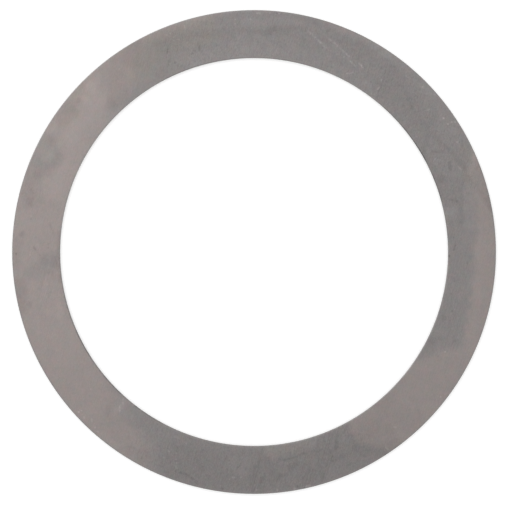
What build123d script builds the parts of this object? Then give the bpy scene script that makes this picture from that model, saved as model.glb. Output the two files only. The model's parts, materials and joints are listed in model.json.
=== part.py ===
"""A flat shim ring, cut from cold-rolled steel strip by one stroke of a compound die.

The ring slides over a shaft and lies in the mouth of a housing, to take up end play.
Its axis is Z. It lies on Z = 0 on the face where the cut broke through, and the face that
the die touched first is on top. All sizes are in millimetres.
"""

import os

from build123d import *

# The ring fills the round gap between a shaft and its housing. The gap is measured from the
# shaft outwards, and the two clearances are the ring's play in it, across the diameter.
shaft_diameter = 80.0
gap_width = 10.0
bore_clearance = 0.10
rim_clearance = 0.15

thickness = 1.0

# The form of the cut edges, as shares of the strip's thickness, which is how press-tool tables
# give it. From the top down an edge is rolled over, then sheared smooth and upright, then torn.
roll_depth_share = 0.10
roll_width_share = 0.25
tear_height_share = 0.36
tear_lean_share = 0.05
burr_break_share = 0.03

housing_diameter = shaft_diameter + 2 * gap_width
bore_radius = (shaft_diameter + bore_clearance) / 2
rim_radius = (housing_diameter - rim_clearance) / 2
middle_radius = (bore_radius + rim_radius) / 2

roll_depth = thickness * roll_depth_share
roll_width = thickness * roll_width_share
tear_height = thickness * tear_height_share
tear_lean = thickness * tear_lean_share
burr_break = thickness * burr_break_share

land_top = thickness - roll_depth
quarter_turn = 90

with BuildPart() as shim_ring:
    with BuildSketch(Plane.XZ) as section:
        with BuildLine() as outline:
            # The rim's half of the section, from the middle of the top face to the middle of
            # the bottom one: the face, its rolled edge, the sheared land, the tear and the
            # edge that deburring leaves.
            Line((middle_radius, thickness), (rim_radius - roll_width, thickness))
            EllipticalCenterArc(
                (rim_radius - roll_width, land_top),
                x_radius=roll_width,
                y_radius=roll_depth,
                arc_size=quarter_turn,
            )
            Polyline(
                (rim_radius, land_top),
                (rim_radius, tear_height),
                (rim_radius - tear_lean, burr_break),
                (rim_radius - tear_lean - burr_break, 0),
                (middle_radius, 0),
            )
            # One stroke cuts the bore and the rim, so the bore's edge is the same, mirrored.
            mirror(about=Plane.YZ.offset(middle_radius))
        make_face()
    revolve(axis=Axis.Z)

shim_ring.part.label = "shim_ring"

os.makedirs("parts", exist_ok=True)
export_step(shim_ring.part, "parts/shim_ring.step")
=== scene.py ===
"""The look of the shim ring: bare cold-rolled steel on a pale table, seen from straight above.

The face's marks are given in millimetres on the ring, X to the right and Y up in the main
view, with the origin on the axis. Shades are steps of an 8-bit picture: +1 is one lighter.
The scene itself is in metres.
"""

import json
import math
from collections import namedtuple

import bpy
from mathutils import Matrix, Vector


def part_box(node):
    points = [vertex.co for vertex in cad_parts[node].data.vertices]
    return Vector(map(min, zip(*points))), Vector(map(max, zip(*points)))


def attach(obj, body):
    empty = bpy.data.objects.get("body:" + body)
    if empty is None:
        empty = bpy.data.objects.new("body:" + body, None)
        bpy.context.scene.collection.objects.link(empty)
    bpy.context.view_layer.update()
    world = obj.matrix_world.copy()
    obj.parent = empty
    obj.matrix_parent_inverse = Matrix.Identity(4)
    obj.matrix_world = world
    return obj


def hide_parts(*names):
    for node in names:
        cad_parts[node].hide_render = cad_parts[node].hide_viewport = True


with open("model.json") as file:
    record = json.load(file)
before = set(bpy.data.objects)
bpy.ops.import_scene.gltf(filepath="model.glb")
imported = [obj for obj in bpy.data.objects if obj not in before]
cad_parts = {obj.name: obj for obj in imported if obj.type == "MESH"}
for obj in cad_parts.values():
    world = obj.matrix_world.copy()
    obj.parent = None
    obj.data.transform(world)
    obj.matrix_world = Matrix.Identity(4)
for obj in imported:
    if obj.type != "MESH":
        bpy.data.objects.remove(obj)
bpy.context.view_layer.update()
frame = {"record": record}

MM = 0.001

# ------------------------------------------------------------------ sizes, from the frame


def mount(name):
    """One of the record's mounts, by its name."""
    return next(m for m in frame["record"]["mounts"] if m["name"] == name)


bore_radius = mount("bore")["dims"]["r_mm"]
rim_radius = mount("rim")["dims"]["r_mm"]
thickness = (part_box("shim_ring")[1].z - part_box("shim_ring")[0].z) / MM
land_middle = mount("bore")["pos_m"][2] / MM
land_height = mount("bore")["dims"]["length_mm"]
land_bottom = land_middle - land_height / 2
land_top = land_middle + land_height / 2

# The rest of the cut edge, as the part has it: how wide the rolled edge is, how far the torn
# wall leans into the ring, and the edge that deburring leaves.
ROLL_WIDTH = 0.25
TEAR_LEAN = 0.05
BURR_BREAK = 0.03

# ------------------------------------------------------------------ the ring's mesh

# Steps round the ring, along a rolled edge and across a flat face.
AROUND = 720
ROLL_STEPS = 6
FACE_STEPS = 6
# How far from its edge a flat face has a loop that keeps its shading flat.
HOLDING_LOOP = 0.02
SHARP_EDGE = math.radians(35)

# The bake map has one strip for each of these sectors, and a margin as a share of its side.
SECTORS = 4
MAP_MARGIN = 0.006

# Two heights nearer than this are the same.
CLOSE = 1e-6


def face_radii(inner, outer):
    """Radii across a flat face, with a holding loop beside each edge."""
    inner_hold = inner + HOLDING_LOOP
    outer_hold = outer - HOLDING_LOOP
    step = (outer_hold - inner_hold) / FACE_STEPS
    return [inner] + [inner_hold + step * i for i in range(FACE_STEPS + 1)] + [outer]


def edge_section(radius, out):
    """The cut edge from the bottom face up to the top face. out is 1 at the rim, -1 at the bore."""
    points = [
        (radius - out * (TEAR_LEAN + BURR_BREAK), 0.0),
        (radius - out * TEAR_LEAN, BURR_BREAK),
        (radius, land_bottom),
        (radius, land_top),
    ]
    for i in range(1, ROLL_STEPS + 1):
        turn = math.pi / 2 * i / ROLL_STEPS
        inward = ROLL_WIDTH * (1 - math.cos(turn))
        points.append((radius - out * inward, land_top + (thickness - land_top) * math.sin(turn)))
    return points


def ring_section():
    """The closed section as (radius, height) in order: bore wall, top, rim wall, bottom."""
    bore_edge = edge_section(bore_radius, -1)
    rim_edge = edge_section(rim_radius, 1)
    top = [(r, thickness) for r in face_radii(bore_edge[-1][0], rim_edge[-1][0])]
    bottom = [(r, 0.0) for r in face_radii(bore_edge[0][0], rim_edge[0][0])]
    return bore_edge + top[1:-1] + rim_edge[::-1] + bottom[::-1][1:-1]


def is_cut_edge(a, b):
    """Whether the stretch of section from a to b is part of a sheared or torn wall."""
    return min(a[1], b[1]) < land_top - CLOSE and max(a[1], b[1]) > CLOSE


def ring_mesh():
    """The section turned about Z. The cut walls have the second material."""
    section = ring_section()
    rows = len(section)
    mesh = bpy.data.meshes.new("ring")
    verts = []
    for s in range(AROUND):
        angle = 2 * math.pi * s / AROUND
        verts += [(r * MM * math.cos(angle), r * MM * math.sin(angle), z * MM) for r, z in section]
    faces = []
    for s in range(AROUND):
        here, there = s * rows, (s + 1) % AROUND * rows
        for k in range(rows):
            n = (k + 1) % rows
            faces.append((here + k, here + n, there + n, there + k))
    mesh.from_pydata(verts, [], faces)
    mesh.polygons.foreach_set("use_smooth", [True] * len(faces))
    cut_rows = [is_cut_edge(section[k], section[(k + 1) % rows]) for k in range(rows)]
    mesh.polygons.foreach_set("material_index", [int(c) for c in cut_rows] * AROUND)
    unroll(mesh, section)
    mesh.set_sharp_from_angle(angle=SHARP_EDGE)
    mesh.validate()
    return mesh


def unroll(mesh, section):
    """The bake map: the whole section across each strip, and one sector of the ring along it."""
    rows = len(section)
    steps = [math.dist(section[k], section[(k + 1) % rows]) for k in range(rows)]
    across = [sum(steps[:k]) / sum(steps) for k in range(rows + 1)]
    per_sector = AROUND // SECTORS
    strip = 1 / SECTORS
    uv = mesh.uv_layers.new(name="OFBake")
    at = 0
    for s in range(AROUND):
        sector, within = divmod(s, per_sector)
        near, far = within / per_sector, (within + 1) / per_sector
        for k in range(rows):
            for u, v in ((near, k), (near, k + 1), (far, k + 1), (far, k)):
                u_share = MAP_MARGIN + u * (1 - 2 * MAP_MARGIN)
                v_share = MAP_MARGIN + across[v] * (strip - 2 * MAP_MARGIN)
                uv.data[at].uv = (u_share, sector * strip + v_share)
                at += 1


# ------------------------------------------------------------------ node helpers


class Nodes:
    """One node tree. Each call adds a node and gives back its output socket."""

    def __init__(self, tree):
        self.tree = tree

    def add(self, kind, inputs, output=0, **settings):
        node = self.tree.nodes.new("ShaderNode" + kind)
        for name, value in settings.items():
            setattr(node, name, value)
        for socket, value in dict(inputs).items():
            if isinstance(value, bpy.types.NodeSocket):
                self.tree.links.new(value, node.inputs[socket])
            else:
                node.inputs[socket].default_value = value
        return node.outputs[output]

    def math(self, operation, *values):
        return self.add("Math", enumerate(values), operation=operation)

    def product(self, first, *others):
        for value in others:
            first = self.math("MULTIPLY", first, value)
        return first

    def total(self, first, *others):
        for value in others:
            first = self.math("ADD", first, value)
        return first

    def vector(self, operation, *values):
        return self.add("VectorMath", enumerate(values), operation=operation)

    def measure(self, operation, *values):
        """A vector operation that gives a number."""
        return self.add("VectorMath", enumerate(values), output=1, operation=operation)

    def scale(self, vector, factor):
        return self.add("VectorMath", {0: vector, 3: factor}, operation="SCALE")

    def step(self, value, low, high):
        """0 up to low and 1 from high on, smooth between. It falls where high is the lower."""
        inputs = {"Value": value, "From Min": low, "From Max": high}
        return self.add("MapRange", inputs, interpolation_type="SMOOTHSTEP", clamp=False)

    def cloud(self, place, size, detail=2.0, roughness=0.5, output="Fac"):
        """Flat cloudy noise from 0 to 1, with patches about size across in the units of place."""
        inputs = {"Vector": place, "Scale": 1 / size, "Detail": detail, "Roughness": roughness}
        return self.add("TexNoise", inputs, output=output, noise_dimensions="2D")

    def swing(self, share, reach):
        """A share from 0 to 1 as a number from -reach to reach."""
        return self.math("MULTIPLY_ADD", share, 2 * reach, -reach)

    def mix(self, share, a, b):
        """The colour a where share is 0 and b where it is 1."""
        inputs = {0: share, 6: a, 7: b}
        return self.add("Mix", inputs, output=2, data_type="RGBA")

    def blend(self, share, a, b):
        """The number a where share is 0 and b where it is 1."""
        return self.add("Mix", {0: share, 2: a, 3: b}, data_type="FLOAT")


def srgb(*steps):
    """A colour given as 8-bit steps, as the linear numbers that a shader takes."""
    shares = [s / 255 for s in steps]
    return [s / 12.92 if s <= 0.04045 else ((s + 0.055) / 1.055) ** 2.4 for s in shares] + [1.0]


# ------------------------------------------------------------------ marks on the face

# A soft stroke from start to end. Its strength is in shades, or from 0 to 1 for a cover.
Mark = namedtuple("Mark", "start end half_width soft_edge strength")


def spot(x, y, radius, soft_edge, strength=1.0):
    return Mark((x, y), (x, y), radius, soft_edge, strength)


def trail(points, half_width, soft_edge, strength=1.0):
    """One stroke from each point to the next."""
    return [Mark(a, b, half_width, soft_edge, strength) for a, b in zip(points, points[1:])]


def around(radius, first, last, half_width, soft_edge, strength=1.0):
    """A trail along the ring from one direction to another, in degrees from +X."""
    steps = max(1, round(abs(last - first) / 12))
    turns = [math.radians(first + (last - first) * i / steps) for i in range(steps + 1)]
    points = [(radius * math.cos(t), radius * math.sin(t)) for t in turns]
    return trail(points, half_width, soft_edge, strength)


# Where the thin rosy film lies: the whole left, a sliver of the rim at the top left, the
# outer part of the right, and the lower right.
FILM = [
    *trail([(-30.2, 44.6), (-32.8, 36.8)], 5.8, 4.0),
    *trail([(-33.6, 36.4), (-41, 22)], 5.4, 4.2, 0.85),
    *trail([(-41, 22), (-43, 18), (-46, 0), (-42, -19), (-36, -31)], 5.4, 4.2),
    *trail([(-34.5, -32), (-28.6, -41.5)], 3.8, 6.2, 0.85),
    *trail([(-27, 44.2), (-17, 48.3), (-8, 51)], 1.5, 2.2, 0.65),
    *trail([(17, 47.8), (23.5, 44.6)], 0.6, 2.2, 0.5),
    spot(9.4, 47.4, 0.4, 1.2, 0.4),
    spot(3.1, -41.6, 0.4, 1.5, 0.5),
    *trail([(49.6, 20), (50.2, 7), (49.8, -6), (49, -13), (47.8, -20)], 3.5, 2.1, 0.92),
    *trail([(46.5, -25.4), (39, -27.2), (25.8, -33.4)], 5.6, 2.4, 0.8),
    *trail([(38, -29), (31.8, -36)], 5.6, 2.6, 0.8),
]

# Where the film has been rubbed off again.
FILM_GAPS = [
    spot(-43.4, 20.3, 2.0, 2.2, 0.8),
    *trail([(-46, -4.2), (-43, -2.4)], 0.5, 1.8, 0.5),
    *trail([(-43, -2.4), (-40, -1.6)], 0.9, 1.8, 0.5),
    *trail([(-25.8, -33.4), (-24, -34.8)], 0.7, 2.0, 0.3),
]

# Where it is as thin as to be straw-coloured, or lies over the bare steel as a trace.
STRAW = [
    *trail([(-23.5, 37), (-20.5, 42.5), (-10, 45.6)], 1.2, 2.6),
    *trail([(-25, 35.8), (-20, 37), (-15, 40)], 0.8, 2.0, 0.45),
    *trail([(-35.5, 34.8), (-38, 27)], 0.6, 2.4, 0.6),
    spot(-42.9, 20.7, 1.6, 2.0, 0.6),
    *trail([(4.6, -40.6), (10.2, -40.2)], 0.6, 1.3, 0.7),
    *trail([(43.6, 20.8), (44.4, 14)], 0.4, 1.6, 0.8),
]

# Broad soft differences over the face: uneven tone of the steel and, in part, painted shade and
# painted light, darker along the top and the bottom and lighter at the right and on the left.
BROAD = [
    # Right.
    *around(47, 38, 20, 1.5, 4, 2.6),
    *around(43.5, 2, -22, 2.0, 5.0, 1.9),
    *trail([(24.5, -30.5), (32, -35.5)], 1.0, 3.0, -3),
    # Top right.
    *trail([(-2.5, 42.8), (7.5, 42.6)], 1.0, 2.0, 1.5),
    *trail([(-2, 47.2), (2, 47)], 0.3, 1.0, 3),
    *trail([(10, 44.5), (16, 43.5), (21, 41)], 1.0, 3.0, -3.5),
    *trail([(22, 41.5), (35, 28)], 1.2, 3.0, -2),
    *trail([(23.5, 44.5), (33.5, 37.5), (40.5, 29.5), (44.5, 21.5)], 0.5, 2.4, 2.5),
    # Top left.
    *around(46.5, 84, 112, 2.0, 4.5, -3.6),
    *around(46.5, 112, 128, 2.0, 4.5, -5),
    *around(40.5, 112, 130, 0.6, 2.4, -4),
    spot(-19.3, 37.0, 0.8, 2.0, -6),
    *trail([(-22.8, 42), (-22, 44)], 0.6, 1.8, -3),
    *trail([(-25.6, 43.5), (-25.2, 39.8)], 1.2, 2.6, -10),
    *trail([(-27.8, 40.5), (-28.2, 32.5)], 1.0, 2.8, -7),
    *trail([(-32.6, 35.8), (-36, 32)], 0.3, 1.4, 2.5),
    # Left.
    *around(47, 128, 165, 1.5, 5, -3),
    *around(45, 193, 207, 2.0, 4.0, 1.4),
    *trail([(-33, 31), (-37, 26), (-41, 18), (-42, 13)], 0.6, 3.0, 4.8),
    *trail([(-30.5, -35), (-26, -38)], 0.8, 2.4, -1),
    *trail([(-27, -31), (-24.6, -33)], 0.6, 2.0, 3),
    # Bottom.
    *around(46, 250, 273, 2.0, 4.6, -5.8),
    *around(46, 278, 303, 2.6, 4.2, -5),
    spot(-2.8, -44, 1.0, 2.4, 4),
    *trail([(1.5, -49), (5.5, -46.5)], 0.6, 2.4, -6),
    *trail([(4.5, -47.5), (14, -45.5), (22.5, -43)], 1.2, 2.5, -5),
    *trail([(4, -40.4), (12, -39.6)], 0.4, 2.0, 4),
    spot(18.6, -38, 0.6, 1.6, 3),
]

# Stain spots and rings, and finger marks.
SMUDGES = [
    # The stain at the top left, and the light spots beside it.
    spot(-38, 28.9, 0.8, 1.5, -2.5),
    spot(-41.8, 25.7, 0.5, 1.5, 4),
    *trail([(-37.4, 29.9), (-36.9, 28.2)], 0.2, 0.9, -4.5),
    *trail([(-37.8, 27.6), (-39.4, 26.6)], 0.2, 1.0, -3),
    spot(-36.1, 31.3, 0.2, 0.7, -6),
    spot(-34.7, 31.8, 0.3, 0.8, 4),
    spot(-33.6, 34.0, 0.5, 1.6, 4),
    spot(-29.4, 30.2, 0.6, 1.6, -5),
    # The ring that a drop left, open to the left, with a pale middle.
    spot(-43.4, 20.8, 1.2, 1.8, 5.5),
    spot(-44.9, 19, 0.3, 1.1, 4),
    *trail([(-42.4, 23.4), (-41, 22.3), (-40.4, 21)], 0.2, 1.1, -2),
    *trail([(-40, 19.5), (-41.2, 17.7), (-42.6, 16.4)], 0.4, 1.3, -5.5),
    *trail([(-42.6, 16.4), (-44.8, 15.9)], 0.4, 1.2, -4.5),
    spot(-46.6, 16.6, 0.2, 1.0, -3),
    spot(-40.2, 19.8, 0.3, 1.1, -7),
    spot(-39.4, 20.8, 0.5, 1.4, -3),
    *trail([(-46.3, 15), (-46.6, 9.8)], 0.3, 1.3, -2.5),
    *trail([(-46.2, 14.1), (-46.2, 12.9)], 0.1, 0.8, -4),
    *trail([(-46.6, 11.1), (-46.1, 9.7)], 0.1, 0.6, -5),
    *trail([(-46, 11.1), (-46.6, 9.7)], 0.1, 0.6, -5),
    # The finger mark on the left and the dark spots about it.
    spot(-48, 3.6, 0.2, 0.8, -7),
    spot(-48.2, 2.2, 0.3, 0.8, -4),
    spot(-43.3, -1.8, 0.4, 1.1, -4),
    spot(-41.2, -2.4, 0.4, 1.0, -6),
    spot(-41.3, -1.2, 0.3, 0.8, -4),
    spot(-40.3, -3.0, 0.3, 0.9, -5),
    *trail([(-40.3, 4), (-40.2, -3.6), (-40, -6)], 0.1, 0.7, -5),
    *trail([(-48.3, -6.4), (-47.9, -11.4)], 0.5, 1.4, -5),
    *trail([(-49.3, 2.4), (-49.2, -2.6)], 0.3, 1.2, -3.5),
    spot(-48.3, -9.2, 0.25, 0.7, -8),
    spot(-46.5, -10.8, 0.25, 0.8, -6),
    *trail([(-42.4, -6), (-42.6, -12)], 0.6, 1.4, 2),
    *trail([(-40.5, -10.5), (-40, -13)], 0.2, 0.9, 3),
    # Lower left.
    *trail([(-30, -32), (-30.3, -33.5)], 0.3, 0.8, -3),
    *trail([(-31.5, -37.8), (-28.6, -40)], 0.3, 0.8, 2.5),
    *trail([(-26.9, -30.6), (-27.8, -32.4)], 0.2, 0.6, 2.5),
    spot(-25.4, -40.7, 0.5, 1.2, -3),
    spot(-23, -42, 0.8, 1.4, -4),
    # The dark band along the top.
    *trail([(-20, 42.6), (-17, 43.6), (-13, 44.6), (-5, 45.6), (0, 45.6)], 0.2, 1.0, -3),
    *trail([(0, 45.5), (3, 45.3), (6, 45.9), (9.2, 46.6)], 0.2, 0.8, -3.4),
    *trail([(2.4, 45.3), (4.1, 45.8)], 0.3, 0.9, -6.5),
    *trail([(9.4, 48.3), (12.4, 47.7)], 0.3, 1.0, -4),
    *trail([(3.6, 47.8), (8, 47.4)], 0.5, 1.0, 2.5),
    # Upper right: haze along the scratches, and the long wavering scuff with its branch.
    *trail([(12.4, 44.7), (15.3, 41.8)], 0.2, 0.6, 1.5),
    *trail([(16, 43.4), (19.8, 40)], 0.2, 0.7, 2),
    *trail([(30, 35), (32.7, 29.6), (36, 25.5)], 0.1, 0.6, -2),
    *trail([(36, 25.5), (38.5, 22.5)], 0.3, 0.9, -4),
    *trail([(38.5, 22.5), (41.5, 20), (43.3, 17.3)], 0.1, 0.8, -5),
    *trail([(36.2, 25.5), (34.9, 20.5)], 0.15, 0.7, -4),
    *trail([(36.8, 20.5), (39, 20.7)], 0.1, 0.5, -6),
    *trail([(40.3, 18.5), (40.5, 17)], 0.1, 0.4, -8),
    spot(32.7, 29.7, 0.2, 0.5, -7),
    *trail([(37.6, 28.5), (36.5, 25.9)], 0.15, 0.8, -3),
    spot(41.2, 25, 0.4, 0.8, 2.5),
    *trail([(34.4, 34.2), (37, 32.6)], 0.2, 0.8, 2.5),
    *trail([(24.8, 42.2), (25.6, 42.5)], 0.15, 0.7, 5),
    *trail([(26.9, 41.2), (27.8, 40.5)], 0.2, 0.7, 3.5),
    *trail([(23.2, 34.9), (23.8, 33.6)], 0.2, 0.6, 3),
    spot(26.5, 37.8, 0.1, 0.4, -8),
    spot(15.3, 45.7, 0.1, 0.5, -7),
    # Right.
    *trail([(42.4, 15.4), (42.8, 11), (42.4, 5.9)], 0.1, 0.7, -2.5),
    spot(38.5, 15.1, 0.4, 1.0, -6),
    spot(41.5, 10.6, 0.3, 0.8, -3),
    *trail([(42.4, 10.2), (42.9, 9.4), (43, 6.9), (42.5, 5.8)], 0.12, 0.5, -3.5),
    spot(43.3, 17.5, 0.2, 0.5, -7),
    spot(40.5, 8.1, 0.7, 1.4, 5),
    *trail([(44, 13), (44.4, 8.6), (44.6, 5.4)], 0.4, 1.4, 4),
    *trail([(45, 19.6), (44.6, 16.8)], 0.2, 1.2, 4),
    *trail([(42.5, -15.4), (42.8, -18)], 0.6, 1.6, 2),
    *trail([(46.4, 17), (46.8, 13.6), (48.9, 10)], 0.5, 1.3, -5),
    *trail([(48.4, 11), (49.2, 9.2)], 0.4, 0.9, -9),
    *trail([(36.5, 18.5), (38.7, 11.6)], 0.1, 0.7, -2),
    *trail([(35.9, -18.4), (37, -18.3)], 0.2, 1.2, -5),
    spot(39.1, -13.6, 0.25, 0.6, -6),
    *trail([(35.7, -18.5), (36.2, -18.4)], 0.1, 0.4, -7),
    spot(38.1, -17.9, 0.1, 0.5, -4),
    # Bottom.
    *trail([(16.4, -42.4), (20, -41.8), (24, -41)], 0.2, 1.2, -2),
    spot(18.3, -42, 0.2, 0.8, -5),
    spot(21, -40.5, 0.3, 0.9, -5),
    *trail([(21, -38.9), (25, -40.4)], 0.3, 1.2, -2),
    *trail([(26.5, -42), (29.5, -40)], 0.6, 1.6, -4),
    *trail([(7.2, -44.6), (8.9, -43.4)], 0.15, 0.7, -5),
    *trail([(3.8, -40.4), (3, -42.6)], 0.2, 0.7, -3),
    *trail([(-1.6, -40.4), (-2.6, -42)], 0.3, 1.0, -2),
    *trail([(4.6, -46.9), (5.5, -46.2), (6.7, -45.9)], 0.15, 0.6, -4.5),
    spot(7.2, -44.2, 0.3, 0.6, -4),
    *trail([(0.8, -43.7), (0.4, -46), (-0.8, -49.2)], 0.06, 0.4, -2),
    *trail([(1.5, -46.5), (1.2, -48.6)], 0.06, 0.35, -4),
    *trail([(3.2, -41.2), (3.1, -42.6)], 0.06, 0.35, -5),
    *trail([(14.3, -45.9), (14, -47.4)], 0.06, 0.4, -6),
    *trail([(13.4, -38.7), (12.9, -40.2)], 0.06, 0.35, -5),
    *trail([(17.4, -37.5), (16.8, -40.4)], 0.06, 0.4, -4.5),
    *trail([(18.7, -36.6), (18.4, -37.5)], 0.06, 0.35, -5),
]

# Scratches and ticks. They break up along their length.
SCRATCHES = [
    # Upper right: two light scratches side by side, and the ticks that end them.
    *trail([(11.2, 45.5), (12.9, 44.1), (14.4, 42.5)], 0.06, 0.32, 10),
    *trail([(14.4, 42.5), (15.4, 41.7), (17.6, 40.7)], 0.05, 0.36, 5),
    *trail([(15.3, 44.2), (15.8, 43.7)], 0.06, 0.28, 10),
    *trail([(16.4, 43.3), (17.1, 42.6)], 0.08, 0.34, 10),
    *trail([(17.1, 42.6), (18.3, 41.6)], 0.04, 0.28, 5),
    *trail([(18.3, 41.6), (18.8, 41), (19.6, 40.4)], 0.07, 0.28, 15),
    *trail([(19.6, 40.4), (21.6, 38.9)], 0.04, 0.26, 5),
    *trail([(18.6, 40.2), (19.5, 40.2)], 0.1, 0.3, 9),
    *trail([(18.7, 40.1), (20, 39.2)], 0.04, 0.28, 4),
    *trail([(19.9, 39.3), (20.1, 39.1)], 0.08, 0.24, 18),
    *trail([(20.1, 39.1), (20.9, 38.3)], 0.05, 0.24, 8),
    *trail([(21.6, 38.9), (22.2, 38.4), (22.6, 37.8)], 0.07, 0.26, 14),
    *trail([(19.1, 36.8), (20.4, 37)], 0.04, 0.24, 12),
    # Two dark ones that cross the band there, with light dashes beside them.
    *trail([(27.3, 38.4), (26.9, 36.4), (26.2, 34), (25.3, 31.8)], 0.06, 0.24, -8),
    *trail([(28.3, 38.6), (27, 34.3), (26.3, 31.6)], 0.04, 0.2, -5),
    *trail([(26.4, 36.3), (26.2, 35.2)], 0.04, 0.2, 13),
    *trail([(25.8, 34), (25.4, 33.4)], 0.05, 0.2, 15),
    *trail([(31.3, 36.3), (31.8, 36)], 0.04, 0.2, 8),
    *trail([(34.6, 34.2), (35, 33.9)], 0.06, 0.24, 11),
    # Right.
    *trail([(41.5, 1.4), (41.2, 0.4)], 0.08, 0.2, -12),
    *trail([(44, -1.8), (44, -2.4)], 0.08, 0.2, -9),
    *trail([(43.3, -4.7), (43.3, -5.2)], 0.05, 0.25, -7),
    *trail([(41.3, -5.4), (41.3, -6.2)], 0.05, 0.25, -6),
    *trail([(41.3, -18.6), (42.1, -17.9)], 0.05, 0.3, -6),
    # Bottom and lower left.
    *trail([(-16.1, -45.2), (-14.3, -45.8), (-13.2, -46.4), (-11.6, -47.7)], 0.08, 0.36, -9),
    *trail([(-27, -30.5), (-27.1, -31.4)], 0.05, 0.24, 10),
    *trail([(-27.5, -31.7), (-27.9, -32.2)], 0.07, 0.26, 12),
    *trail([(-27.7, -32.2), (-27.7, -33)], 0.05, 0.26, 8),
    *trail([(-32.6, -36.7), (-32.1, -37.2)], 0.05, 0.24, 12),
    *trail([(-35.9, -32.5), (-35.6, -32.7)], 0.06, 0.22, 13),
    # Left.
    *trail([(-45.5, 1), (-45, 0.5)], 0.08, 0.34, -10),
    *trail([(-45, 0.5), (-44.2, -0.8)], 0.05, 0.3, -7),
    *trail([(-42.3, 1.9), (-42.6, 0.8)], 0.06, 0.38, -8),
    *trail([(-42.2, 5.9), (-41.6, 4.3), (-41.3, 3.3)], 0.05, 0.32, -6),
    # Top left.
    *trail([(-17.8, 41.8), (-17.9, 41)], 0.06, 0.28, -11),
    *trail([(-17.3, 39.9), (-17.5, 39.1), (-17.8, 38.3)], 0.06, 0.3, -9),
    *trail([(-14.4, 46.7), (-14.2, 46)], 0.04, 0.22, 9),
    *trail([(-12.2, 41.6), (-12.9, 40.9)], 0.05, 0.3, -10),
    *trail([(-11.3, 43.1), (-11.2, 41.6)], 0.06, 0.3, -8),
]

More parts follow.
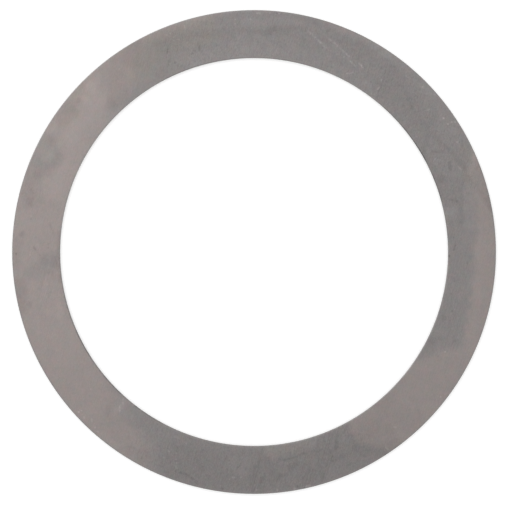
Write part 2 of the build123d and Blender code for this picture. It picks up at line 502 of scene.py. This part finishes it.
# Marks that don't break up: dark specks, light nicks and one long dark scratch at the bottom.
SPECKS = [
    # Top.
    spot(-27.8, 37.8, 0.07, 0.2, 6),
    spot(-18, 44.8, 0.05, 0.2, 8),
    spot(-17.3, 45.1, 0.05, 0.2, 8),
    spot(-16.6, 44.3, 0.06, 0.2, 9),
    spot(-16.5, 43.6, 0.06, 0.22, 11),
    *trail([(-15.8, 43.9), (-15.5, 43.9)], 0.05, 0.2, 9),
    spot(-16.3, 39.1, 0.08, 0.3, -9),
    *trail([(-11.3, 42.6), (-11.3, 42)], 0.06, 0.26, -5),
    spot(-3.9, 48, 0.06, 0.22, 11),
    spot(-3.9, 47.1, 0.06, 0.22, 9),
    spot(-0.7, 48, 0.08, 0.22, 13),
    spot(-0.5, 46.2, 0.08, 0.3, 7),
    *trail([(0.6, 49.3), (1.1, 49.3)], 0.08, 0.24, 14),
    spot(3.3, 49.3, 0.06, 0.25, 10),
    spot(4.7, 49.3, 0.06, 0.26, -10),
    spot(5.2, 49.2, 0.08, 0.26, 14),
    # Upper right.
    spot(13.7, 43.3, 0.08, 0.28, 7),
    spot(22.2, 38.4, 0.1, 0.26, 9),
    spot(24.2, 32.7, 0.06, 0.25, 11),
    spot(33.5, 31.4, 0.05, 0.2, 8),
    spot(37.3, 32.5, 0.06, 0.25, 10),
    *trail([(35.5, 29.2), (36.1, 29.4)], 0.06, 0.22, 9),
    spot(39.1, 27.6, 0.1, 0.2, 24),
    spot(40, 26.4, 0.08, 0.2, 20),
    spot(40.8, 26.8, 0.1, 0.24, 16),
    spot(41.5, 26.8, 0.08, 0.24, 14),
    spot(33.5, 23.8, 0.05, 0.2, 9),
    spot(42, 22.7, 0.1, 0.3, 16),
    # Right.
    *trail([(37, 18.7), (37.5, 19.4)], 0.03, 0.15, 12),
    *trail([(42.2, 17.6), (42.7, 17)], 0.04, 0.18, 12),
    spot(40.9, 10.7, 0.08, 0.3, -9),
    spot(41.8, 10.5, 0.1, 0.3, -10),
    spot(40.25, -0.8, 0.1, 0.26, -20),
    spot(40.3, -4.1, 0.06, 0.26, -6),
    spot(40.6, -8.6, 0.06, 0.26, -6),
    spot(40.9, -12.2, 0.1, 0.25, -13),
    spot(41.4, -11.9, 0.05, 0.2, 8),
    spot(39.4, -20.6, 0.07, 0.2, 17),
    spot(38, -21.5, 0.06, 0.25, -6),
    spot(38.5, -29.9, 0.08, 0.25, 10),
    # Bottom.
    *trail([(28.9, -36.1), (29.3, -36.2)], 0.05, 0.22, 7),
    *trail([(27.2, -40.3), (27.6, -40.7)], 0.05, 0.22, 9),
    *trail([(5.2, -43), (8.6, -42.3), (11.6, -41.2), (13.6, -40.9)], 0.06, 0.45, -4),
    *trail([(6.2, -42.9), (8.6, -42.3)], 0.06, 0.28, -8),
    spot(16.3, -42.2, 0.06, 0.26, -6),
    spot(16.2, -43.1, 0.06, 0.26, -3),
    spot(10.2, -42, 0.06, 0.22, 9),
    *trail([(10.7, -48.4), (11.5, -48.2)], 0.1, 0.26, 12),
    spot(9, -48.4, 0.08, 0.3, -10),
    spot(8.4, -48.8, 0.12, 0.3, 16),
    spot(7.1, -48.3, 0.06, 0.28, -7),
    spot(4.8, -49.1, 0.1, 0.25, 14),
    spot(0.5, -49.1, 0.1, 0.25, 12),
    spot(-2.7, -46.5, 0.05, 0.2, 9),
    spot(-4.1, -46.5, 0.06, 0.2, 12),
    spot(-4.5, -46.5, 0.07, 0.2, 13),
    spot(-5.1, -46.9, 0.05, 0.2, 9),
    *trail([(-3, -44.1), (-3.4, -44.5)], 0.06, 0.25, -9),
    spot(-6.5, -48.9, 0.08, 0.3, -11),
    spot(-6.9, -48.2, 0.06, 0.22, 9),
    # Lower left.
    spot(-14, -39.5, 0.06, 0.2, 9),
    spot(-16.1, -41.5, 0.06, 0.22, 10),
    spot(-16.1, -42.8, 0.06, 0.22, 11),
    spot(-16, -43.5, 0.06, 0.22, 11),
    *trail([(-16.2, -44.1), (-15.9, -44.6)], 0.05, 0.22, 8),
    spot(-17, -40.8, 0.05, 0.2, 9),
    spot(-17.6, -41.1, 0.06, 0.22, 12),
    spot(-18.6, -40.8, 0.06, 0.22, 10),
    spot(-18.6, -42.4, 0.06, 0.22, 10),
    spot(-32.8, -36.2, 0.07, 0.22, 12),
    *trail([(-33.5, -34.4), (-33.5, -34.9)], 0.05, 0.22, 9),
    *trail([(-35.1, -34), (-35, -34.3)], 0.05, 0.22, 11),
    spot(-36.2, -33, 0.08, 0.22, 19),
    spot(-33.7, -28.3, 0.06, 0.22, 10),
    # Left.
    spot(-49.1, -0.35, 0.08, 0.25, -14),
    spot(-46.2, -0.6, 0.06, 0.2, 9),
    spot(-46, 6.8, 0.05, 0.24, -9),
    spot(-46, 7.4, 0.05, 0.2, 8),
]

# The bore's rolled edge: painted shade along it on two sides, darkest in clumps, more painted
# shade over one length and painted light over another.
BORE_SHADE_AND_LIGHT = [
    *around(40, 8, 46, 1.0, 5.0, -13),
    spot(38.4, 11.4, 0.6, 2.2, -20),
    spot(37.1, 15.1, 0.6, 2.2, -26),
    *trail([(34.7, 20), (33.6, 21.7)], 0.6, 2.2, -34),
    *trail([(32, 24), (31, 25.3)], 0.4, 2.2, -26),
    *around(40, 196, 240, 1.0, 5.0, -11),
    *trail([(-36.1, -17.2), (-34.6, -20)], 0.6, 2.6, -26),
    *trail([(-30.4, -26), (-28.4, -28.2)], 0.4, 2.6, -22),
    spot(-24.1, -32, 0.3, 1.4, -24),
    *trail([(-22.6, -33), (-19.8, -34.8)], 0.4, 2.2, -16),
    *around(40, 252, 348, 1.0, 4.0, -6),
    *around(40, 122, 172, 1.0, 4.0, 9),
]

# Where the bare face is worn the most, with dark flecks, and where it has streaks along the grain.
WORN = [
    *around(44.5, 108, 20, 3.4, 3.5),
    *around(41, 22, 4, 1.2, 2.0, 0.8),
    *around(45, 242, 296, 3.4, 3.0),
    *around(41.5, -8, -26, 1.0, 2.5, 0.6),
    spot(-46.3, 12, 1.5, 1.5, 0.6),
    spot(-42, -9, 1.5, 2.5, 0.5),
]
STREAKED = [
    *trail([(16.1, -38.4), (14.6, -45.5)], 1.2, 1.2, 0.6),
    *trail([(1.4, -43), (0.4, -49)], 1.0, 1.2, 0.65),
    *trail([(-42.6, -5), (-43.2, -12)], 0.8, 1.4, 0.5),
    *trail([(11, -45), (10, -48.5)], 1.0, 1.4, 0.6),
    *trail([(41, -12), (41.5, -18.5)], 1.2, 1.6, 0.5),
]


def stroke_group():
    """One soft stroke from Start to End: 1 along it, falling to 0 over its soft edge."""
    group = bpy.data.node_groups.new("stroke", "ShaderNodeTree")
    for name in ("Place", "Start", "End"):
        group.interface.new_socket(name, in_out="INPUT", socket_type="NodeSocketVector")
    for name in ("Half width", "Reach"):
        group.interface.new_socket(name, in_out="INPUT", socket_type="NodeSocketFloat")
    group.interface.new_socket("Mask", in_out="OUTPUT", socket_type="NodeSocketFloat")
    n = Nodes(group)
    given = group.nodes.new("NodeGroupInput").outputs
    along = n.vector("SUBTRACT", given["End"], given["Start"])
    out = n.vector("SUBTRACT", given["Place"], given["Start"])
    advance = n.measure("DOT_PRODUCT", out, along)
    length = n.measure("DOT_PRODUCT", along, along)
    share = n.math("MAXIMUM", n.math("MINIMUM", n.math("DIVIDE", advance, length), 1), 0)
    nearest = n.scale(along, share)
    distance = n.measure("DISTANCE", out, nearest)
    mask = n.step(distance, given["Reach"], given["Half width"])
    group.links.new(mask, group.nodes.new("NodeGroupOutput").inputs["Mask"])
    return group


STROKE = stroke_group()


def stroke(n, place, mark):
    """1 on the mark and 0 beyond its soft edge."""
    reach = mark.half_width + mark.soft_edge
    if mark.start == mark.end:
        distance = n.measure("DISTANCE", place, (*mark.start, 0))
        return n.step(distance, reach, mark.half_width)
    node = n.tree.nodes.new("ShaderNodeGroup")
    node.node_tree = STROKE
    n.tree.links.new(place, node.inputs["Place"])
    node.inputs["Start"].default_value = (*mark.start, 0)
    node.inputs["End"].default_value = (*mark.end, 0)
    node.inputs["Half width"].default_value = mark.half_width
    node.inputs["Reach"].default_value = reach
    return node.outputs["Mask"]


def cover(n, place, marks):
    """At each place the strength of the strongest mark there, faded by its soft edge, or 0."""
    most = 0.0
    for mark in marks:
        most = n.math("MAXIMUM", n.math("MULTIPLY", stroke(n, place, mark), mark.strength), most)
    return most


def shades(n, place, marks):
    """At each place the shades of the strongest light mark less those of the strongest dark one."""
    light = cover(n, place, [m for m in marks if m.strength > 0])
    dark = cover(n, place, [m._replace(strength=-m.strength) for m in marks if m.strength < 0])
    return n.math("SUBTRACT", light, dark)


# ------------------------------------------------------------------ materials

# The colours of the bare and the filmed face, of the straw tint over either, and of the two
# zones of the cut walls.
BARE = srgb(129, 125.1, 124.2)
FILMED = srgb(142.5, 134.4, 131.9)
STRAW_TINT = (1.01, 1.0, 0.965, 1.0)
LAND = srgb(138, 135, 134)
TORN = srgb(131, 127, 125)

# The roughness of each surface, and how far the grain takes that of the faces either way.
BARE_ROUGHNESS = 0.36
FILMED_ROUGHNESS = 0.4
LAND_ROUGHNESS = 0.28
TORN_ROUGHNESS = 0.55
GRAIN_ROUGHNESS = 0.08

# How deep the relief is, in millimetres: of the rolling grain, and of the torn zone.
GRAIN_RELIEF = 0.002
TORN_RELIEF = 0.02

# One shade, as a share of the light that mid-grey steel sends back.
SHADE = 0.0163

# The rolling grain runs up the face and leans this far to the right.
GRAIN_LEAN = math.radians(17)

# The kinds of noise that run along the grain. The size is across it, in millimetres, and along
# it the noise is drawn out by 1 / squeeze.
Grain = namedtuple("Grain", "size squeeze detail roughness")
FINE = Grain(0.2, 0.42, 3.0, 0.75)
STREAKS = Grain(0.28, 0.18, 1.0, 0.5)
LINES = Grain(0.3, 0.04, 2.0, 0.6)
FLECKS = Grain(0.5, 0.55, 2.0, 0.7)

# How far each kind of noise takes the face's tone either way, in shades.
FINE_SWING = 15.0
STREAKS_SWING = 4.8
LINES_SWING = 2.5
MOTTLING_SWING = 5.5

# What wear and painted light do to the tone, in shades: dark flecks and dark streaks on the
# face from wear, and on the edges worn nicks that swing about over a lift of painted light.
DARK_FLECK = -5.0
DARK_STREAK = -9.0
EDGE_PAINTED_LIGHT = 4.0
EDGE_SWING = 10.0

# The shares of the grain that a full film and an unworn face leave to be seen, and the share of
# the film that stays on a worn edge.
GRAIN_UNDER_FILM = 0.78
GRAIN_UNWORN = 0.8
FILM_ON_EDGE = 0.4

# Noise this large pushes the marks' outlines about, over the distances given: the broad marks'
# and the smudges'. All in millimetres.
DRIFT_SIZE = 2.5
BROAD_DRIFT = 1.8
SMUDGE_DRIFT = 0.7

# The lower face's film lies in patches about this large, in millimetres.
LOWER_PATCH = 22

# How far an edge's wear with its painted light, and the bore edge's painted shade and light,
# reach into the face, how far they are at full strength, and how far their border wavers either
# way. All in millimetres.
WEAR_AND_LIGHT_REACH = 0.5
WEAR_AND_LIGHT_FULL = 0.1
WEAR_AND_LIGHT_RAGGED = 0.25
BORE_SHADE_REACH = 0.3
BORE_SHADE_FULL = 0.06
BORE_SHADE_RAGGED = 0.1

# On the cut walls: how far each zone's own noise takes its tone either way, in shades, and how
# far the border between them wavers either way and how soft it is, in millimetres.
LAND_SWING = 14.0
TORN_SWING = 16.0
TEAR_RAGGED = 0.12
TEAR_SOFTNESS = 0.03

# Small patches of colour differ by up to this share, so that each channel's middle is 1.
TINT_SPREAD = (0.225, 0.115, 0.125)
TINT_BASE = [1 - s / 2 for s in TINT_SPREAD]


def new_material(name):
    material = bpy.data.materials.new(name)
    material.use_nodes = True
    tree = material.node_tree
    tree.nodes.clear()
    shader = tree.nodes.new("ShaderNodeBsdfPrincipled")
    output = tree.nodes.new("ShaderNodeOutputMaterial")
    tree.links.new(shader.outputs[0], output.inputs["Surface"])
    return material, Nodes(tree), shader.inputs


def edge_wear_and_light(n, place):
    """1 on the rolled edges and in ragged nicks beside them, and 0 on the face between."""
    ragged = n.swing(n.cloud(place, 0.6), WEAR_AND_LIGHT_RAGGED)
    radius = n.math("ADD", n.measure("LENGTH", place), ragged)
    at_bore = n.step(radius, bore_radius + WEAR_AND_LIGHT_REACH, bore_radius + WEAR_AND_LIGHT_FULL)
    at_rim = n.step(radius, rim_radius - WEAR_AND_LIGHT_REACH, rim_radius - WEAR_AND_LIGHT_FULL)
    return n.math("MAXIMUM", at_bore, at_rim)


def bore_shade_and_light(n, place):
    """Painted shade and light along the bore's rolled edge, ending where it runs into the face."""
    ragged = n.swing(n.cloud(place, 1.5), BORE_SHADE_RAGGED)
    radius = n.math("ADD", n.measure("LENGTH", place), ragged)
    lip = n.step(radius, bore_radius + BORE_SHADE_REACH, bore_radius + BORE_SHADE_FULL)
    return n.math("MULTIPLY", lip, shades(n, place, BORE_SHADE_AND_LIGHT))


def film_cover(n, place, loose, upper, wear_and_light):
    """Where the film lies, from 0 to 1. The lower face has broad patches of it."""
    above = n.math("SUBTRACT", cover(n, loose, FILM), cover(n, loose, FILM_GAPS))
    above = n.math("MAXIMUM", above, 0)
    below = n.step(n.cloud(place, LOWER_PATCH), 0.45, 0.6)
    return n.product(n.blend(upper, below, above), n.blend(wear_and_light, 1.0, FILM_ON_EDGE))


def mark_tone(n, place, loose, near, upper):
    """The shades of the marks, which only the upper face has."""
    broken = n.step(n.cloud(place, 0.5, 1.0), 0.3, 0.6)
    return n.total(
        n.product(shades(n, loose, BROAD), upper),
        n.product(shades(n, near, SMUDGES), upper),
        n.product(shades(n, place, SCRATCHES), broken, upper),
        n.product(shades(n, place, SPECKS), upper),
    )


def drawn_out(n, lined, grain):
    """One kind of noise along the grain, from 0 to 1."""
    squeezed = n.vector("MULTIPLY", lined, (1, grain.squeeze, 0))
    return n.cloud(squeezed, grain.size, grain.detail, grain.roughness)


def strip_steel():
    """The faces: cold-rolled strip, in part bare and in part under a thin film."""
    material, n, surface = new_material("strip_steel")
    metres = n.add("TexCoord", {}, output="Object")
    height = n.add("SeparateXYZ", {0: metres}, output="Z")
    upper = n.step(height, 0.4 * thickness * MM, 0.5 * thickness * MM)
    place = n.vector("MULTIPLY", metres, (1 / MM, 1 / MM, 0))
    drift = n.vector("SUBTRACT", n.cloud(place, DRIFT_SIZE, output="Color"), (0.5, 0.5, 0.5))
    loose = n.vector("MULTIPLY_ADD", drift, (BROAD_DRIFT, BROAD_DRIFT, 0), place)
    near = n.vector("MULTIPLY_ADD", drift, (SMUDGE_DRIFT, SMUDGE_DRIFT, 0), place)
    wear_and_light = edge_wear_and_light(n, place)

    film = film_cover(n, place, loose, upper, wear_and_light)
    straw = n.product(cover(n, loose, STRAW), upper)
    colour = n.mix(film, BARE, FILMED)
    colour = n.vector("MULTIPLY", colour, n.mix(straw, (1, 1, 1, 1), STRAW_TINT))

    lined = n.add("VectorRotate", {"Vector": place, "Angle": GRAIN_LEAN}, rotation_type="Z_AXIS")
    fine, streaks, lines, flecks = [
        drawn_out(n, lined, grain) for grain in (FINE, STREAKS, LINES, FLECKS)
    ]
    mottling = n.cloud(place, 5.0, 4.0, 0.9)
    worn = cover(n, loose, WORN)
    uneven = n.product(n.blend(film, 1.0, GRAIN_UNDER_FILM), n.blend(worn, GRAIN_UNWORN, 1.0))
    tone = n.total(
        mark_tone(n, place, loose, near, upper),
        # Painted shade and painted light along the bore's rolled edge.
        bore_shade_and_light(n, place),
        n.product(n.step(flecks, 0.52, 0.72), worn, DARK_FLECK),
        # Worn nicks along the edges, over a lift of painted light.
        n.product(n.math("ADD", n.swing(flecks, EDGE_SWING), EDGE_PAINTED_LIGHT), wear_and_light),
        n.product(n.step(lines, 0.5, 0.6), cover(n, loose, STREAKED), upper, DARK_STREAK),
        n.product(n.swing(fine, FINE_SWING), uneven),
        n.product(n.swing(streaks, STREAKS_SWING), uneven),
        n.product(n.swing(lines, LINES_SWING), uneven),
        n.product(n.swing(mottling, MOTTLING_SWING), uneven),
    )
    colour = n.scale(colour, n.math("MULTIPLY_ADD", tone, SHADE, 1.0))
    tints = n.cloud(place, 1.8, 3.0, 0.78, output="Color")
    colour = n.vector("MULTIPLY", colour, n.vector("MULTIPLY_ADD", tints, TINT_SPREAD, TINT_BASE))

    n.tree.links.new(colour, surface["Base Color"])
    surface["Metallic"].default_value = 1.0
    smooth = n.blend(film, BARE_ROUGHNESS, FILMED_ROUGHNESS)
    roughness = n.math("ADD", n.swing(fine, GRAIN_ROUGHNESS), smooth)
    n.tree.links.new(roughness, surface["Roughness"])
    bump = n.add("Bump", {"Height": fine, "Distance": GRAIN_RELIEF * MM}, output="Normal")
    n.tree.links.new(bump, surface["Normal"])
    return material


def cut_steel():
    """The cut's walls: a burnished land with fine upright streaks, over a dull torn zone."""
    material, n, surface = new_material("cut_steel")
    metres = n.add("TexCoord", {}, output="Object")
    place = n.vector("MULTIPLY", metres, (1 / MM, 1 / MM, 1 / MM))
    flat = n.vector("MULTIPLY", place, (1, 1, 0))
    height = n.add("SeparateXYZ", {0: place}, output="Z")
    ragged = n.swing(n.cloud(place, 1.2, 3.0, 0.6), TEAR_RAGGED)
    level = n.math("ADD", height, ragged)
    torn = n.step(level, land_bottom + TEAR_SOFTNESS, land_bottom - TEAR_SOFTNESS)
    crumbled = n.add("TexNoise", {"Vector": place, "Scale": 9.0, "Detail": 3.0})
    streaks = n.cloud(place, 0.12, 2.0, 0.6)
    colour = n.mix(torn, LAND, TORN)
    texture = n.blend(torn, n.swing(streaks, LAND_SWING), n.swing(crumbled, TORN_SWING))
    # The bore edge's painted shade and painted light run down its wall as well.
    tone = n.math("ADD", texture, bore_shade_and_light(n, flat))
    colour = n.scale(colour, n.math("MULTIPLY_ADD", tone, SHADE, 1.0))
    n.tree.links.new(colour, surface["Base Color"])
    surface["Metallic"].default_value = 1.0
    n.tree.links.new(n.blend(torn, LAND_ROUGHNESS, TORN_ROUGHNESS), surface["Roughness"])
    crumbs = n.math("MULTIPLY", crumbled, torn)
    bump = n.add("Bump", {"Height": crumbs, "Distance": TORN_RELIEF * MM}, output="Normal")
    n.tree.links.new(bump, surface["Normal"])
    return material


ring = bpy.data.objects.new("ring", ring_mesh())
bpy.context.scene.collection.objects.link(ring)
ring.data.materials.append(strip_steel())
ring.data.materials.append(cut_steel())
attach(ring, "root")
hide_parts("shim_ring")

# ------------------------------------------------------------------ table, light and camera

# Distances from here on are in metres, apart from those that end in _MM.
WHITE = (1.0, 1.0, 1.0, 1.0)
TABLE_SIZE = 4.0
TABLE_GREY = srgb(216, 216, 216)
TABLE_ROUGHNESS = 0.9
# What the table gives off to the eye, so that it ends in white, and to nothing else.
TABLE_GLOW = 0.45

# How bright the sky is to the eye, and as a light.
SKY_SEEN = 1.0
SKY_LIGHT = 0.9


def seen_directly(n):
    """1 for rays from the camera, a mirror-like surface or a clear one, and 0 for the rest."""
    path = n.tree.nodes.new("ShaderNodeLightPath").outputs
    seen = n.math("MAXIMUM", path["Is Camera Ray"], path["Is Glossy Ray"])
    return n.math("MAXIMUM", seen, path["Is Transmission Ray"])


def table():
    bpy.ops.mesh.primitive_plane_add(size=TABLE_SIZE)
    floor = bpy.context.object
    floor.name = "table"
    material, n, surface = new_material("table")
    surface["Base Color"].default_value = TABLE_GREY
    surface["Roughness"].default_value = TABLE_ROUGHNESS
    surface["Specular IOR Level"].default_value = 0.0
    surface["Emission Color"].default_value = WHITE
    glow = n.math("MULTIPLY", seen_directly(n), TABLE_GLOW)
    n.tree.links.new(glow, surface["Emission Strength"])
    floor.data.materials.append(material)


def sky():
    world = bpy.data.worlds.new("sky")
    bpy.context.scene.world = world
    world.use_nodes = True
    world.node_tree.nodes.clear()
    n = Nodes(world.node_tree)
    inputs = {"Value": seen_directly(n), "To Min": SKY_LIGHT, "To Max": SKY_SEEN}
    light = n.add("Background", {"Color": WHITE, "Strength": n.add("MapRange", inputs)})
    n.tree.links.new(light, n.tree.nodes.new("ShaderNodeOutputWorld").inputs["Surface"])


# Where the lamp stands from the ring's middle: how far from upright, its bearing anticlockwise
# from +X, and how far away. The size is its diameter.
LAMP_TILT = math.radians(35)
LAMP_BEARING = math.radians(130)
LAMP_DISTANCE = 0.55
LAMP_SIZE = 0.55
LAMP_WATTS = 0.56


def lamp():
    """One large soft lamp, up and to the left."""
    data = bpy.data.lights.new("lamp", "AREA")
    data.shape = "DISK"
    data.size = LAMP_SIZE
    data.energy = LAMP_WATTS
    obj = bpy.data.objects.new("lamp", data)
    bpy.context.scene.collection.objects.link(obj)
    side = LAMP_DISTANCE * math.sin(LAMP_TILT)
    obj.location = (
        side * math.cos(LAMP_BEARING),
        side * math.sin(LAMP_BEARING),
        LAMP_DISTANCE * math.cos(LAMP_TILT),
    )
    obj.rotation_euler = (-obj.location).to_track_quat("-Z", "Y").to_euler()


# The camera is this far above the ring's top face, where the picture is this wide.
CAMERA_HEIGHT = 0.42
PICTURE_WIDTH_MM = 105.23
# The ring's middle is a little up and left of the picture's.
CAMERA_X_MM = 0.19
CAMERA_Y_MM = -0.615
SENSOR_MM = 36.0
CLIP_START = 0.01


def camera():
    data = bpy.data.cameras.new("camera")
    data.sensor_width = SENSOR_MM
    data.lens = SENSOR_MM * CAMERA_HEIGHT / (PICTURE_WIDTH_MM * MM)
    data.clip_start = CLIP_START
    obj = bpy.data.objects.new("camera", data)
    bpy.context.scene.collection.objects.link(obj)
    obj.location = (CAMERA_X_MM * MM, CAMERA_Y_MM * MM, thickness * MM + CAMERA_HEIGHT)
    bpy.context.scene.camera = obj


table()
sky()
lamp()
camera()
bpy.context.scene.view_settings.view_transform = "Standard"
